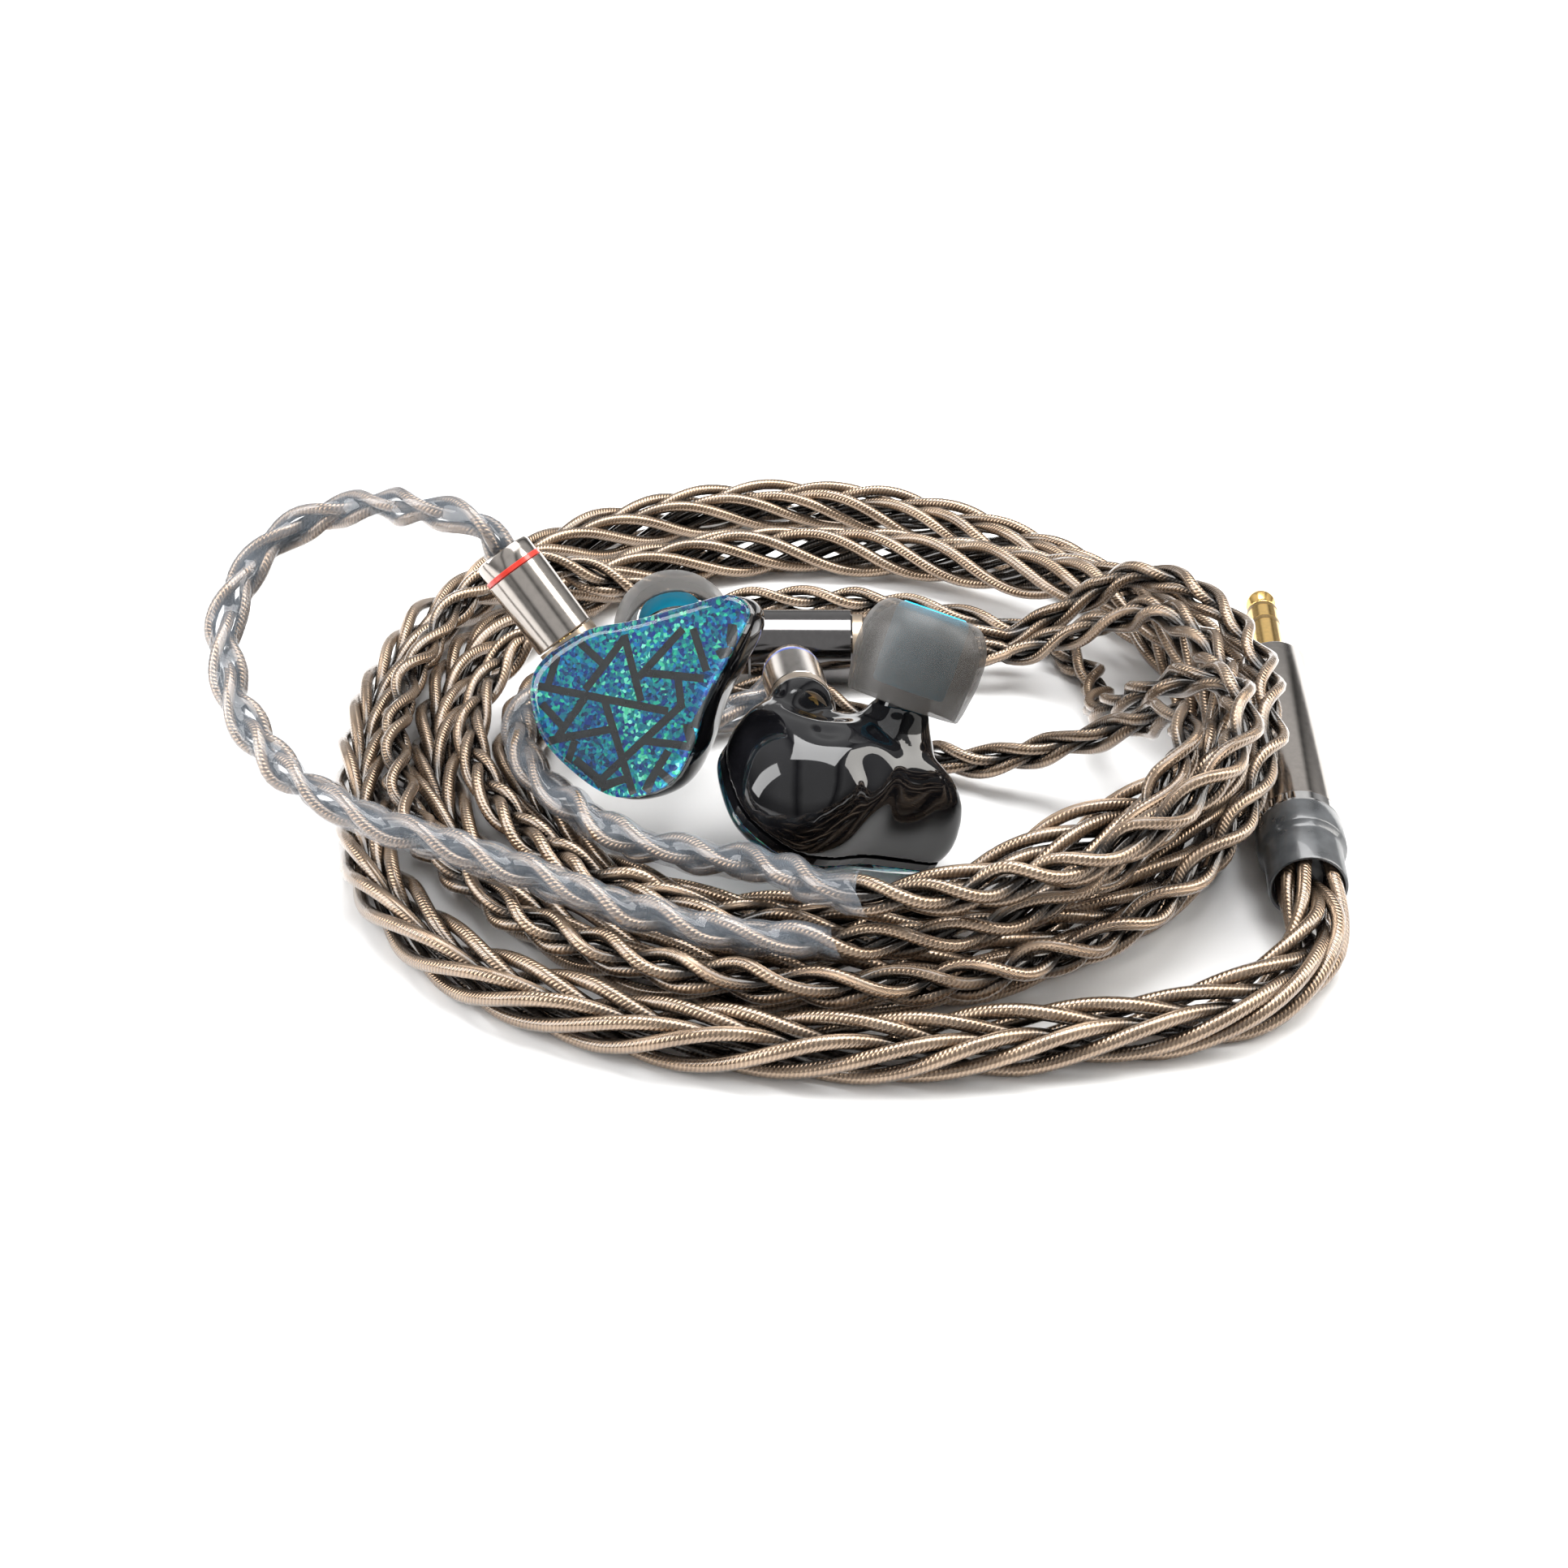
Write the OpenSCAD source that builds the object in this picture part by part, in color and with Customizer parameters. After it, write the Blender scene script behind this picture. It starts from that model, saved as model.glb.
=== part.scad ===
// Pair of in-ear monitors with detachable two-pin cable, lying loosely coiled.
// The origin is on the surface they lie on, under the middle of the two earpieces.

/* [Earpiece] */
// Thickness of the resin shell wall
shell_wall = 0.9; // [0.7:0.1:1.1]
// Thickness of the faceplate's backing plate
plate_t = 0.8; // [0.6:0.1:1.0]
// Thickness of the opal inlay
inlay_t = 0.2; // [0.1:0.05:0.3]
// Height of the clear dome over the inlay
dome_t = 1.2; // [0.8:0.1:1.4]

/* [Nozzle and ear tip] */
// Outer radius of the nozzle
nozzle_r = 2.6; // [2.4:0.05:2.7]
// Running clearance between nozzle and ear tip core
tip_clear = 0.05; // [0.02:0.01:0.1]
// Widest radius of the ear tip
tip_r = 6.2; // [5.5:0.1:6.3]
// Wall of the ear tip's soft dome
tip_wall = 0.6; // [0.5:0.1:0.8]

/* [Two-pin connector] */
// Radius of the connector barrel
barrel_r = 3.1; // [3.0:0.05:3.15]
// Length of the connector barrel
barrel_l = 8; // [7.5:0.5:8]
// Radius of one pin
pin_r = 0.39; // [0.37:0.01:0.39]
// Distance between the two pins
pin_pitch = 2.6; // [2.5:0.1:2.7]

/* [Cable] */
// Diameter of the eight-core cable
main_d = 6.2; // [6.0:0.1:6.2]
// Diameter of each four-core cable
thin_d = 3.4; // [3.2:0.1:3.4]
// Diameter of the sleeved ear hooks
hook_d = 4.2; // [4.0:0.1:4.2]

/* [Splitter and chin slider] */
// Radius of the splitter body
splitter_r = 4.1; // [4.0:0.05:4.1]
// Length of the splitter body
splitter_l = 11.5; // [10:0.5:11.5]
// Radius of the chin slider
slider_r = 3.9; // [3.85:0.05:4.1]
// Length of the chin slider
slider_l = 5; // [4:0.5:5]

/* [Plug] */
// Radius of the contact shaft
jack_r = 1.75; // [1.75:0.05:1.75]
// Length of the contact shaft
jack_l = 14; // [14:0.5:14]
// Radius of the plug barrel
plug_r = 4; // [3.8:0.1:4]
// Length of the plug barrel
plug_l = 31; // [28:0.5:31]

/* [Hidden] */
$fn = 64;

// Everything is laid out in one layout frame, which this shift carries to the origin.
layout_shift = [2.52, -5.25, 0];

// Earpieces: place and turn in the layout frame; the left one is the right one mirrored.
right_pos = [-13.5, -0.1, 16.8];
right_turn = [56, -10, -14];
left_pos = [2.5, -4.5, 8.05];
left_turn = [-164, -24, 140];

// Earpiece frame: faceplate in the XY plane, +Z out of the faceplate.
outline_pts = [
    [-10.5, 3.5], [-10, -2], [-6.5, -6], [-2, -8.5], [3, -7.5], [5.5, -4], [7, 0.5],
    [9.5, 5], [11.2, 8.5], [9.5, 10.2], [5.5, 9.5], [0, 8.2], [-5.5, 7.2]];
// Shell sections: depth, scale of the outline, and the section's shift
shell_sections = [
    [0, 1, 0, 0], [-2, 1.02, 0, 0], [-4.3, 0.98, 0, 0.1], [-6.6, 0.87, 0.3, 0.5],
    [-8.4, 0.7, 0.7, 1], [-9.7, 0.48, 1, 1.6], [-10.4, 0.22, 1.2, 2]];
// Nozzle axis
nozzle_base = [1.9, 5, -5.6];
nozzle_dir = [-0.37, 0.32, -0.87];
// Socket and connector axis
socket_base = [-8.8, 6.4, -4];
socket_dir = [-0.53, 0.8, 0.29];

// Distances along the nozzle axis
nozzle_in = 2;
nozzle_end = 13;
tip_start = 6.5;
core_start = 8;
core_step = 13.5;
tip_end = 16;
// Distances along the socket axis
collar_end = 1;
connector_start = 1.15;
ring_w = 0.5;
cap_l = 1.8;
connector_end = connector_start + barrel_l + ring_w + cap_l;
connector_bore_r = 2.4;
contact_r = 0.75;

// Splitter axis runs along +X from here
splitter_pos = [-4, 33, 4.2];
collar_w = 1.2;
slider_gap = 0.5;
cable_gap = 0.05; // half the gap between the two thin cables

// Plug: cable exit of the boot, and the heading from pin to cable
plug_exit = [49, -12, 4.3];
plug_heading = -96;
boot_l = 9;
mouth_l = 3;
flange_l = 1.5;
bush_l = 1;
shaft_core_r = 0.7;

// Cable routes, in the layout frame
main_route = [
    [49, -12, 4.3], [48, -20, 3.8], [40, -27.5, 3.2], [24, -31.5, 3.1], [6, -33, 3.1],
    [-12, -30.5, 3.1], [-28, -22.5, 3.1], [-38.5, -9, 3.1], [-43, 9, 3.1], [-43, 28, 3.1],
    [-37, 46, 3.1], [-24, 61, 3.1], [-6, 69.5, 3.1], [13, 68, 3.1], [30, 57, 3.1],
    [41.5, 41, 3.1], [45, 22, 3.1], [43.2, 3, 3.1], [33.5, -12, 3.1], [18, -22, 3.1],
    [0, -24.5, 3.1], [-17, -19, 3.1], [-30, -6, 3.1], [-35.8, 11, 3.1], [-34.8, 30, 3.1],
    [-25, 46, 3.1], [-9, 56.5, 3.1], [9, 57.5, 3.3], [26, 49.5, 5], [39, 35.5, 9],
    [45, 18, 9.6], [42, 0, 9.8], [29.5, -9, 8.5], [13, -14.5, 4], [-5, -15.5, 3.1],
    [-18.5, -7.5, 3.1], [-27, 9, 3.1], [-25, 25, 3.1], [-14, 33, 3.6], [-4, 33, 4.2]];
thin_right_route = [
    [8.7, 31.25, 4.2], [17, 31.25, 4.2], [25, 31.25, 4.2], [33, 28.5, 9], [39.5, 23.5, 14], [43, 14, 14.8],
    [43, 3, 15.1], [38.5, -7, 14], [30, -15.5, 9], [19, -18, 7.8], [5, -19.9, 7],
    [-8, -18.8, 7], [-19, -12.2, 6.8], [-27.6, -1.6, 6.6], [-32, 11.5, 6.2], [-30.5, 25, 6.9],
    [-26.3, 28.8, 8.7], [-21.5, 27.7, 8.8], [-18.4, 25, 6.6], [-15, 23.8, 2.6], [-9, 26, 1.8], [-3, 27.3, 1.8],
    [3.5, 26.6, 1.8], [9, 21, 1.8], [14, 14.5, 1.8], [21, 11, 3.2], [28, 9, 6.6], [34.5, 5.5, 11.5],
    [37.5, -1, 16.8], [36.5, -9, 17.6], [30, -17, 12.6], [22, -22, 9.4], [13.5, -24.8, 8.6],
    [4.5, -25.5, 8.5]];
thin_left_route = [
    [8.7, 34.75, 4.2], [17, 34.75, 4.2], [25, 34.75, 4.2], [31.5, 34.2, 8.4], [37.5, 31.5, 13.9], [43, 26, 15.4],
    [47, 16, 14.7], [47, 3, 14.4], [42.5, -10, 11.4], [33, -19.5, 7.4], [20, -26.6, 6.2],
    [5, -28.8, 6.3], [-8, -27.2, 6.4], [-18.2, -23, 6.4], [-26.2, -17, 6.5], [-34.8, -5.7, 6.5],
    [-39.5, 10, 6.4], [-39.3, 26, 6.7], [-34.5, 38.5, 8.6], [-26, 43.5, 8.9], [-18, 44, 5.2],
    [-10, 46, 1.8], [0, 47.5, 1.8], [12, 46.5, 1.8], [22, 43, 1.8], [30, 38, 1.8],
    [34.5, 29, 1.8], [33, 19, 4.5], [34.5, 12, 9.8], [38, 6.5, 15.6], [42.5, 0.5, 19.2],
    [41.5, -9, 19], [35, -17.3, 16.8], [25, -22, 14], [14.5, -24.5, 12.8], [5, -24, 12.7]];
hook_right_route = [
    [4.5, -25.5, 8.5], [-6, -24, 8.6], [-16, -20.5, 9.2], [-26, -16, 10.4], [-36.5, -11.5, 11],
    [-45, -6.5, 12], [-51.5, 0.5, 14.5], [-55, 9, 18], [-54.5, 16.5, 21.3], [-50.5, 21.5, 24.2],
    [-44.5, 22.5, 26.6], [-39, 19.7, 28], [-34, 16.8, 29.2]];
hook_left_route = [
    [5, -24, 12.7], [-1, -18, 11.2], [-8, -13.7, 9.2], [-15, -10, 8.6], [-21.2, -3.8, 8.7],
    [-25.8, 4, 8.6], [-27, 11, 8.6], [-24.7, 15.8, 8.7], [-19.5, 18.4, 5.6], [-14, 19.5, 2.4],
    [-8, 20.4, 2.2], [-3, 22.8, 2.8], [0.6, 24.3, 5.4], [1.3, 22.8, 8.2]];

// ---- Geometry helpers ----

function unit(v) = v / norm(v);
// Uniform Catmull-Rom curve value
function curve(a, b, c, d, t) =
    0.5 * (2 * b + (c - a) * t + (2 * a - 5 * b + 4 * c - d) * t * t
           + (3 * b - a - 3 * c + d) * t * t * t);
// Closed smooth outline through pts, with m points from each to the next
function closed_curve(pts, m) = let (n = len(pts))
    [for (i = [0 : n - 1], k = [0 : m - 1])
        curve(pts[(i + n - 1) % n], pts[i], pts[(i + 1) % n], pts[(i + 2) % n], k / m)];
// Open smooth line through pts, with m points from each to the next
function open_curve(pts, m) = let (n = len(pts))
    concat([for (i = [0 : n - 2], k = [0 : m - 1])
        curve(pts[max(i - 1, 0)], pts[i], pts[i + 1], pts[min(i + 2, n - 1)], k / m)],
        [pts[n - 1]]);
// Direction of a line at its point i
function heading(p, i) = unit(p[min(i + 1, len(p) - 1)] - p[max(i - 1, 0)]);
// Ring of points about p, square to direction t
function ring(p, t, r, sides) = let (u = unit(cross(t, [0, 0, 1])), v = cross(u, t))
    [for (k = [0 : sides - 1]) let (a = 360 * k / sides) p + r * (cos(a) * u + sin(a) * v)];

// Closed solid through a stack of equal rings, capped at both ends
module loft(rings) {
    n = len(rings[0]);
    m = len(rings);
    polyhedron(
        points = [for (r = rings) each r],
        faces = concat(
            [[for (k = [0 : n - 1]) k]],
            [for (i = [0 : m - 2], k = [0 : n - 1])
                [i * n + k, (i + 1) * n + k, (i + 1) * n + (k + 1) % n]],
            [for (i = [0 : m - 2], k = [0 : n - 1])
                [i * n + k, (i + 1) * n + (k + 1) % n, i * n + (k + 1) % n]],
            [[for (k = [0 : n - 1]) m * n - 1 - k]]));
}

// Tube along a route
module cord(route, d, m, sides) {
    p = open_curve(route, m);
    loft([for (i = [0 : len(p) - 1]) ring(p[i], heading(p, i), d / 2, sides)]);
}

// Turns +Z to direction dir, at pos
module along(pos, dir) {
    d = unit(dir);
    translate(pos) rotate([0, acos(d[2]), atan2(d[1], d[0])]) children();
}

// Straight rod between two points
module rod(a, b, r) {
    along(a, b - a) cylinder(h = norm(b - a), r = r, $fn = 16);
}

// Tube with its inner end at z0
module tube(z0, z1, r_out, r_in) {
    translate([0, 0, z0]) difference() {
        cylinder(h = z1 - z0, r = r_out);
        translate([0, 0, -1]) cylinder(h = z1 - z0 + 2, r = r_in);
    }
}

module place(side) {
    if (side == "right")
        translate(layout_shift + right_pos) rotate(right_turn) children();
    else
        translate(layout_shift + left_pos) rotate(left_turn) mirror([1, 0, 0]) children();
}

// ---- Earpiece ----

smooth_outline = closed_curve(outline_pts, 3);

// One section of the shell at depth z, scaled by s and shifted by x, y
function section(z, s, x, y) = [for (p = smooth_outline) [p[0] * s + x, p[1] * s + y, z]];
// Scale that sets a section in by the wall, for a section about 9.5 mm in radius
function inset(s) = s - shell_wall / 9.5;

module shell() color([0.02, 0.02, 0.02]) difference() {
    loft(concat(
        [for (i = [len(shell_sections) - 2 : -1 : 0]) let (s = shell_sections[i])
            section(min(s[0] + (s[0] == 0 ? 0 : shell_wall * 0.6), 0), inset(s[1]), s[2], s[3])],
        [for (s = shell_sections) section(s[0], s[1], s[2], s[3])]));
    along(socket_base, socket_dir) translate([0, 0, -5])
        cylinder(h = 7, r = connector_bore_r);
}

module faceplate() color([0.05, 0.05, 0.06])
    linear_extrude(plate_t) polygon(smooth_outline);

module opal_inlay() color([0.0, 0.5, 0.6])
    translate([0, 0, plate_t]) linear_extrude(inlay_t) polygon(smooth_outline * 0.98);

module clear_dome() color([0.7, 0.85, 0.9, 0.4]) {
    z = plate_t + inlay_t;
    loft([for (s = [[0.80, 1], [0.93, 0.72], [1, 0.35], [1, 0]])
        section(z + dome_t * s[1], s[0], 0, 0)]);
}

module nozzle() color([0.02, 0.02, 0.02])
    along(nozzle_base, nozzle_dir) difference() {
        translate([0, 0, nozzle_in]) cylinder(h = nozzle_end - nozzle_in, r = nozzle_r);
        for (a = [0, 120, 240]) rotate(a) translate([1.1, 0, nozzle_in - 1])
            cylinder(h = nozzle_end, r = 0.7, $fn = 24);
        translate([0, 0, nozzle_end - 0.5]) cylinder(h = 1, r = 2.1);
    }

module nozzle_filter() color([0.75, 0.75, 0.78])
    along(nozzle_base, nozzle_dir) translate([0, 0, nozzle_end - 0.45])
        cylinder(h = 0.3, r = 2.1);

module vent() color([0.5, 0.5, 0.52])
    along([9.2, 7.6, -3.4], [0.6, 0.5, -0.4]) tube(0, 1.6, 0.7, 0.35);

module at_pins(z) {
    for (s = [-1, 1]) translate([s * pin_pitch / 2, 0, z]) children();
}

module socket() color([0.75, 0.66, 0.52])
    along(socket_base, socket_dir) difference() {
        union() {
            translate([0, 0, -3.2]) cylinder(h = 3.2, r = connector_bore_r);
            translate([0, 0, -0.6]) cylinder(h = 0.6 + collar_end, r = barrel_r);
        }
        at_pins(-4) cylinder(h = 6, r = contact_r, $fn = 24);
    }

module socket_contacts() color([0.9, 0.75, 0.3])
    along(socket_base, socket_dir) at_pins(0) tube(-3.6, collar_end - 0.2, contact_r, pin_r + 0.04, $fn = 24);

module dynamic_driver() color([0.6, 0.6, 0.62])
    translate([-2.4, -2, -4.4]) {
        cylinder(h = 2, r = 3.2);
        translate([0, 0, 2]) cylinder(h = 1, r = 3.8);
    }

module armature_drivers() color([0.7, 0.7, 0.72])
    for (z = [-2.9, -5.3]) translate([4, 2.6, z]) rotate(48)
        translate([-2.6, -1.4, 0]) cube([5.2, 2.8, 2]);

module crossover_board() color([0.05, 0.3, 0.12])
    translate([-4.6, -3.6, -6]) cube([5, 4, 0.6]);

module sound_tubes() color([0.8, 0.85, 0.9]) {
    rod([3.4, 2.2, -5.9], [1.6, 5.2, -6.9], 0.55);
    rod([0.5, 0.6, -4.6], [0.2, 5, -6.6], 0.55);
}

module wiring() color([0.7, 0.35, 0.2]) {
    end = socket_base - 3.7 * unit(socket_dir);
    rod(end + [-0.9, -0.6, 0], [-4.4, -0.6, -5.3], 0.2);
    rod(end + [0.9, 0.6, 0], [-3.2, -0.2, -5.3], 0.2);
}

// ---- Ear tip ----

module eartip_core() color([0.0, 0.6, 0.75])
    along(nozzle_base, nozzle_dir) rotate_extrude() polygon([
        [nozzle_r + tip_clear, core_start], [3.5, core_start], [3.7, core_start + 2.5],
        [3.6, tip_end - 0.4], [3.2, tip_end], [2.1, tip_end], [2.1, core_step],
        [nozzle_r + tip_clear, core_step]]);

module eartip_dome() color([0.35, 0.37, 0.38, 0.7])
    along(nozzle_base, nozzle_dir) rotate_extrude() polygon(concat(
        [for (a = [0 : 15 : 90]) [3.75 + (tip_r - 3.75) * cos(90 - a),
            tip_end - 4 + 3.9 * sin(90 - a)]],
        [[tip_r, tip_start + 4.4], [tip_r - 0.2, tip_start + 2.5], [tip_r - 0.7, tip_start]],
        [[tip_r - 0.7 - tip_wall, tip_start], [tip_r - 0.2 - tip_wall, tip_start + 2.5],
         [tip_r - tip_wall, tip_start + 4.4]],
        [for (a = [90 : -15 : 15]) [3.75 + (tip_r - 3.75 - tip_wall) * cos(90 - a),
            tip_end - 4 + (3.9 - tip_wall) * sin(90 - a)]],
        [[3.75, tip_end - 4 + 3.9 - tip_wall]]));

// ---- Two-pin connector ----

module connector_pins() color([0.9, 0.75, 0.3])
    along(socket_base, socket_dir) at_pins(connector_start - 3.4)
        cylinder(h = 3.4 + 3, r = pin_r, $fn = 24);

module connector_insulator() color([0.1, 0.1, 0.1])
    along(socket_base, socket_dir) difference() {
        translate([0, 0, connector_start]) cylinder(h = 2, r = connector_bore_r);
        at_pins(connector_start - 1) cylinder(h = 4, r = pin_r, $fn = 24);
    }

module connector_barrel() color([0.45, 0.43, 0.42])
    along(socket_base, socket_dir)
        tube(connector_start, connector_start + barrel_l, barrel_r, connector_bore_r);

module side_ring(side) color(side == "right" ? [0.85, 0.1, 0.05] : [0.05, 0.15, 0.7])
    along(socket_base, socket_dir)
        tube(connector_start + barrel_l, connector_start + barrel_l + ring_w, barrel_r, connector_bore_r);

module connector_cap() color([0.45, 0.43, 0.42])
    along(socket_base, socket_dir) {
        z = connector_start + barrel_l + ring_w;
        difference() {
            union() {
                translate([0, 0, z]) cylinder(h = cap_l - 0.5, r = barrel_r - 0.15);
                translate([0, 0, z + cap_l - 0.5]) cylinder(h = 0.5, r1 = barrel_r - 0.15, r2 = barrel_r - 0.6);
            }
            translate([0, 0, z - 1]) cylinder(h = cap_l + 2, r = hook_d / 2 + 0.05);
        }
    }

// Middle of the cap's end face, where an ear hook goes in
function turned(p, t) = let (
    a = [p[0], p[1] * cos(t[0]) - p[2] * sin(t[0]), p[1] * sin(t[0]) + p[2] * cos(t[0])],
    b = [a[0] * cos(t[1]) + a[2] * sin(t[1]), a[1], -a[0] * sin(t[1]) + a[2] * cos(t[1])])
    [b[0] * cos(t[2]) - b[1] * sin(t[2]), b[0] * sin(t[2]) + b[1] * cos(t[2]), b[2]];
function mirrored(p) = [-p[0], p[1], p[2]];
cap_end = socket_base + connector_end * unit(socket_dir);
cap_end_right = right_pos + turned(cap_end, right_turn);
cap_end_left = left_pos + turned(mirrored(cap_end), left_turn);
cap_dir_right = turned(unit(socket_dir), right_turn);
cap_dir_left = turned(mirrored(unit(socket_dir)), left_turn);

// ---- Cables ----

module ear_hook_right() color([0.6, 0.52, 0.44, 0.9])
    translate(layout_shift)
        cord(concat(hook_right_route, [cap_end_right + 3 * cap_dir_right, cap_end_right,
            cap_end_right - cap_l * cap_dir_right]), hook_d, 1, 8);

module ear_hook_left() color([0.6, 0.52, 0.44, 0.9])
    translate(layout_shift)
        cord(concat(hook_left_route, [cap_end_left + 3 * cap_dir_left, cap_end_left,
            cap_end_left - cap_l * cap_dir_left]), hook_d, 1, 8);

module thin_cable_right() color([0.5, 0.4, 0.32])
    translate(layout_shift) cord(thin_right_route, thin_d, 1, 8);

module thin_cable_left() color([0.5, 0.4, 0.32])
    translate(layout_shift) cord(thin_left_route, thin_d, 1, 8);

module main_cable() color([0.5, 0.4, 0.32])
    translate(layout_shift) cord(
        concat([plug_exit - mouth_l * [cos(plug_heading), sin(plug_heading), 0]], main_route),
        main_d, 1, 10);

// ---- Splitter and chin slider ----

module on_splitter() {
    translate(layout_shift + splitter_pos) rotate([0, 90, 0]) children();
}

module splitter_body() color([0.32, 0.31, 0.31])
    on_splitter() difference() {
        cylinder(h = splitter_l, r = splitter_r);
        translate([0, 0, 3]) cylinder(h = splitter_l, r = 3);
    }

module splitter_collar() color([0.5, 0.49, 0.48])
    on_splitter() translate([0, 0, splitter_l]) cylinder(h = collar_w, r = splitter_r - 0.5);

// The slider is held by two pads that lightly grip the pair of thin cables
slider_z = splitter_l + collar_w + slider_gap;
pads_r = 2 * (thin_d / 2 + cable_gap) + 0.05;

module chin_slider() color([0.32, 0.31, 0.31])
    on_splitter() tube(slider_z, slider_z + slider_l, slider_r, pads_r);

module slider_pads() color([0.08, 0.08, 0.08])
    on_splitter() translate([0, 0, slider_z + 0.4]) difference() {
        cylinder(h = slider_l - 0.8, r = pads_r);
        translate([-1, -slider_r, -1]) cube([2, 2 * slider_r, slider_l + 2]);
        for (s = [-1, 1]) translate([0, s * (thin_d / 2 + cable_gap), -1])
            cylinder(h = slider_l + 2, r = thin_d / 2 + 0.05, $fn = 32);
    }

// ---- Plug, built from the cable end towards the tip ----

module on_plug() {
    translate(layout_shift + plug_exit) rotate([90, 0, plug_heading - 90]) children();
}

module plug_boot() color([0.12, 0.13, 0.14])
    on_plug() difference() {
        rotate_extrude() polygon([[0, 0], [3.7, 0], [3.7, 5.2], [4.2, 5.6], [4.2, boot_l], [0, boot_l]]);
        translate([0, 0, -1]) cylinder(h = 1 + mouth_l, r = main_d / 2 + 0.2);
    }

module plug_flange() color([0.7, 0.7, 0.7])
    on_plug() translate([0, 0, boot_l]) cylinder(h = flange_l, r = plug_r + 0.1);

module plug_barrel() color([0.42, 0.4, 0.38])
    on_plug() translate([0, 0, boot_l + flange_l]) difference() {
        union() {
            cylinder(h = plug_l - 2.2, r = plug_r);
            translate([0, 0, plug_l - 2.2]) cylinder(h = 2.2, r1 = plug_r, r2 = plug_r - 1.6);
        }
        translate([0, 0, 1.5]) cylinder(h = plug_l - 4.5, r = plug_r - 0.8);
        translate([0, 0, plug_l - 4]) cylinder(h = 5, r = shaft_core_r);
    }

shaft_z = boot_l + flange_l + plug_l + bush_l;

module plug_bush() color([0.85, 0.72, 0.35])
    on_plug() tube(shaft_z - bush_l, shaft_z, 2.1, shaft_core_r);

module plug_sleeve() color([0.9, 0.74, 0.3])
    on_plug() tube(shaft_z, shaft_z + 6, jack_r, shaft_core_r);

module plug_ring() color([0.9, 0.74, 0.3])
    on_plug() tube(shaft_z + 6.7, shaft_z + 9.2, jack_r, shaft_core_r);

module plug_insulators() color([0.75, 0.6, 0.25])
    on_plug() for (z = [6, 9.2]) tube(shaft_z + z, shaft_z + z + 0.7, jack_r, shaft_core_r);

module plug_tip() color([0.9, 0.74, 0.3])
    on_plug() {
        translate([0, 0, shaft_z - 4]) cylinder(h = 14, r = shaft_core_r);
        translate([0, 0, shaft_z + 9.9]) rotate_extrude() polygon([
            [0, 0], [jack_r, 0], [jack_r - 0.5, 1], [jack_r - 0.1, 2],
            [jack_r - 0.2, 2.9], [0.9, jack_l - 10.1], [0.5, jack_l - 9.9], [0, jack_l - 9.9]]);
    }

// ---- Output ----

for (side = ["right", "left"]) {
    place(side) shell();
    place(side) faceplate();
    place(side) opal_inlay();
    place(side) clear_dome();
    place(side) nozzle();
    place(side) nozzle_filter();
    place(side) vent();
    place(side) socket();
    place(side) socket_contacts();
    place(side) dynamic_driver();
    place(side) armature_drivers();
    place(side) crossover_board();
    place(side) sound_tubes();
    place(side) wiring();
    place(side) eartip_core();
    place(side) eartip_dome();
    place(side) connector_pins();
    place(side) connector_insulator();
    place(side) connector_barrel();
    place(side) side_ring(side);
    place(side) connector_cap();
}
ear_hook_right();
ear_hook_left();
thin_cable_right();
thin_cable_left();
main_cable();
splitter_body();
splitter_collar();
chin_slider();
slider_pads();
plug_barrel();
plug_flange();
plug_boot();
plug_bush();
plug_insulators();
plug_tip();
plug_ring();
plug_sleeve();
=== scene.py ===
"""Visual model of a pair of in-ear monitors with a loosely coiled braided cable."""

import math

import bmesh
import bpy
import numpy as np
from mathutils import Euler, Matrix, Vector


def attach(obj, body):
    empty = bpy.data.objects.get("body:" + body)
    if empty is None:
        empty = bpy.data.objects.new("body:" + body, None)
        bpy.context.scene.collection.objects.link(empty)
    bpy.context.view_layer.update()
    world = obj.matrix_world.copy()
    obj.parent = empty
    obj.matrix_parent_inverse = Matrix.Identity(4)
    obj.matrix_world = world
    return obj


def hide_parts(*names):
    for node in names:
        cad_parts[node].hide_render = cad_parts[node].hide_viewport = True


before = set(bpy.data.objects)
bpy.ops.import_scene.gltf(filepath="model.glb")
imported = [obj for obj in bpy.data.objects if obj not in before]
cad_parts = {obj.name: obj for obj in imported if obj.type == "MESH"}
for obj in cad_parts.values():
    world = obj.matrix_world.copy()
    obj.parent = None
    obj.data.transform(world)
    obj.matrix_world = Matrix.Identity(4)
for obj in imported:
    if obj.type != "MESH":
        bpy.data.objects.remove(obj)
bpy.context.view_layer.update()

MM = 0.001
SIDES = ("right", "left")
ROOT = "earpieces_and_cable"
# Shift from the layout frame, in millimetres, that part.scad works in
SHIFT = np.array([2.52, -5.25, 0.0])

# ---- Places and routes, in millimetres in the layout frame, as in part.scad ----

EAR_POS = {"right": (-13.5, -0.1, 16.8), "left": (2.5, -4.5, 8.05)}
EAR_TURN = {"right": (56, -10, -14), "left": (-164, -24, 140)}
OUTLINE = [
    (-10.5, 3.5), (-10, -2), (-6.5, -6), (-2, -8.5), (3, -7.5), (5.5, -4), (7, 0.5),
    (9.5, 5), (11.2, 8.5), (9.5, 10.2), (5.5, 9.5), (0, 8.2), (-5.5, 7.2)]
NOZZLE_BASE, NOZZLE_DIR = (1.9, 5, -5.6), (-0.37, 0.32, -0.87)
SOCKET_BASE, SOCKET_DIR = (-8.8, 6.4, -4), (-0.53, 0.8, 0.29)
CONNECTOR_START, BARREL_L, RING_W, CAP_L = 1.15, 8.0, 0.5, 1.8
MAIN_D, THIN_D, HOOK_D = 6.2, 3.4, 4.2
SPLITTER_POS = (-4, 33, 4.2)
PLUG_EXIT, PLUG_HEADING = (49, -12, 4.3), 84
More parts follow.
